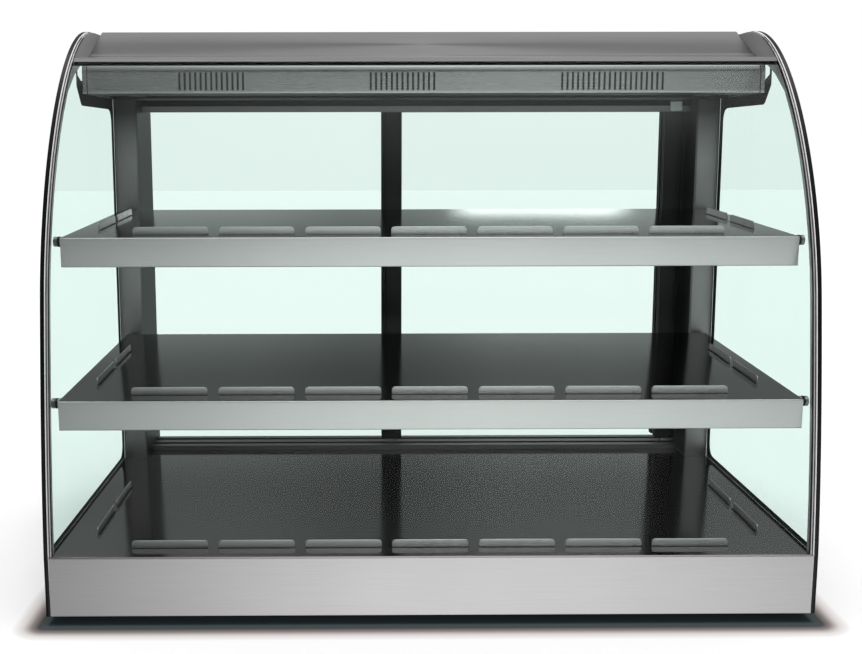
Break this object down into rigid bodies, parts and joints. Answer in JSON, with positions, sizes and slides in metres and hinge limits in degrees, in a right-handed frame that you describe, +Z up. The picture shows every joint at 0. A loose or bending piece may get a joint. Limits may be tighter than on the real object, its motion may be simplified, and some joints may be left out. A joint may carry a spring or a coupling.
{
  "type": "hot food display case",
  "caption": "Countertop hot food display case: curved glass front, glass sides, heated deck, tilted shelves, lamp canopy and sliding rear doors.",
  "frame": {"origin": "middle of the bounding box's footprint, on the surface the feet stand on", "axes": "+X along the width to the right seen from the front, +Y from the curved front glass to the rear doors, +Z up"},
  "size_m": [0.9, 0.525, 0.712],
  "materials": {
    "brushed_steel": "horizontally brushed stainless steel",
    "polished_steel": "mirror polished stainless steel",
    "galvanised_steel": "plain galvanised sheet",
    "clear_glass": "clear tempered glass, faint green",
    "anodised_aluminium": "satin anodised",
    "black_aluminium": "black anodised, satin",
    "black_plastic": "moulded, fine texture",
    "red_plastic": "moulded, gloss",
    "amber_plastic": "moulded, clear amber",
    "white_nylon": "moulded",
    "black_rubber": "moulded, matte",
    "white_ceramic": "unglazed ceramic",
    "quartz_glass": "clear quartz tube",
    "heater_sheath": "heat-oxidised sheath"
  },
  "bodies": {
    "case": {"base_front_panel": "brushed_steel", "base_pan": "galvanised_steel", "base_rear_panel": "brushed_steel", "canopy_end_cap_left": "brushed_steel", "canopy_end_cap_right": "brushed_steel", "canopy_hood": "brushed_steel", "deck_heating_element": "heater_sheath", "deck_plate": "polished_steel", "door_track_bottom": "anodised_aluminium", "door_track_top": "anodised_aluminium", "foot_front_left": "black_rubber", "foot_front_right": "black_rubber", "foot_rear_left": "black_rubber", "foot_rear_right": "black_rubber", "front_glass": "clear_glass", "front_glass_trim": "anodised_aluminium", "glass_arch_left": "anodised_aluminium", "glass_arch_right": "anodised_aluminium", "heat_lamp_tube": "quartz_glass", "lamp_holder_left": "white_ceramic", "lamp_holder_right": "white_ceramic", "lamp_reflector": "polished_steel", "lamp_switch_body": "black_plastic", "mid_shelf": "polished_steel", "mid_shelf_bracket_left": "brushed_steel", "mid_shelf_bracket_right": "brushed_steel", "mid_shelf_peg_left": "brushed_steel", "mid_shelf_peg_right": "brushed_steel", "pilot_lamp": "amber_plastic", "power_inlet": "black_plastic", "power_switch_body": "black_plastic", "rear_post_left": "brushed_steel", "rear_post_right": "brushed_steel", "roof_slope_panel": "brushed_steel", "roof_top_panel": "brushed_steel", "side_glass_left": "clear_glass", "side_glass_right": "clear_glass", "terminal_block": "white_ceramic", "thermostat_body": "black_plastic", "top_shelf": "polished_steel", "top_shelf_bracket_left": "brushed_steel", "top_shelf_bracket_right": "brushed_steel", "top_shelf_peg_left": "brushed_steel", "top_shelf_peg_right": "brushed_steel"},
    "left_door": {"left_door_glass": "clear_glass", "left_door_stile_left": "black_aluminium", "left_door_stile_right": "black_aluminium", "left_door_top_rail": "black_aluminium"},
    "right_door": {"right_door_glass": "clear_glass", "right_door_stile_left": "black_aluminium", "right_door_stile_right": "black_aluminium", "right_door_top_rail": "black_aluminium"},
    "thermostat_knob": {"thermostat_knob": "black_plastic"},
    "power_rocker": {"power_switch_rocker": "red_plastic"},
    "lamp_rocker": {"lamp_switch_rocker": "red_plastic"},
    "left_door_roller_left": {"left_door_roller_left": "white_nylon"},
    "left_door_roller_right": {"left_door_roller_right": "white_nylon"},
    "right_door_roller_left": {"right_door_roller_left": "white_nylon"},
    "right_door_roller_right": {"right_door_roller_right": "white_nylon"}
  },
  "joints": [
    {"name": "left_door_slide", "type": "slide", "parent": "case", "child": "left_door", "axis": [1, 0, 0], "range_m": [-0.358, 0]},
    {"name": "right_door_slide", "type": "slide", "parent": "case", "child": "right_door", "axis": [1, 0, 0], "range_m": [-0.358, 0]},
    {"name": "thermostat_turn", "type": "hinge", "parent": "case", "child": "thermostat_knob", "pos_m": [-0.3, 0.2425, 0.048], "axis": [0, -1, 0], "range_deg": [0, 270]},
    {"name": "power_rocker_tilt", "type": "hinge", "parent": "case", "child": "power_rocker", "pos_m": [-0.215, 0.24, 0.048], "axis": [-1, 0, 0], "range_deg": [0, 16]},
    {"name": "lamp_rocker_tilt", "type": "hinge", "parent": "case", "child": "lamp_rocker", "pos_m": [-0.17, 0.24, 0.048], "axis": [-1, 0, 0], "range_deg": [0, 16]},
    {"name": "left_door_roller_left_turn", "type": "hinge", "parent": "left_door", "child": "left_door_roller_left", "pos_m": [0.0243, 0.2315, 0.6305], "axis": [0, 1, 0], "continuous": true},
    {"name": "left_door_roller_right_turn", "type": "hinge", "parent": "left_door", "child": "left_door_roller_right", "pos_m": [0.3322, 0.2315, 0.6305], "axis": [0, 1, 0], "continuous": true},
    {"name": "right_door_roller_left_turn", "type": "hinge", "parent": "right_door", "child": "right_door_roller_left", "pos_m": [0.0243, 0.2075, 0.6305], "axis": [0, 1, 0], "continuous": true},
    {"name": "right_door_roller_right_turn", "type": "hinge", "parent": "right_door", "child": "right_door_roller_right", "pos_m": [0.3322, 0.2075, 0.6305], "axis": [0, 1, 0], "continuous": true}
  ],
  "couplings": [
    {"joint": "left_door_roller_left_turn", "follows": "left_door_slide", "rad_per_m": 200},
    {"joint": "left_door_roller_right_turn", "follows": "left_door_slide", "rad_per_m": 200},
    {"joint": "right_door_roller_left_turn", "follows": "right_door_slide", "rad_per_m": 200},
    {"joint": "right_door_roller_right_turn", "follows": "right_door_slide", "rad_per_m": 200}
  ]
}
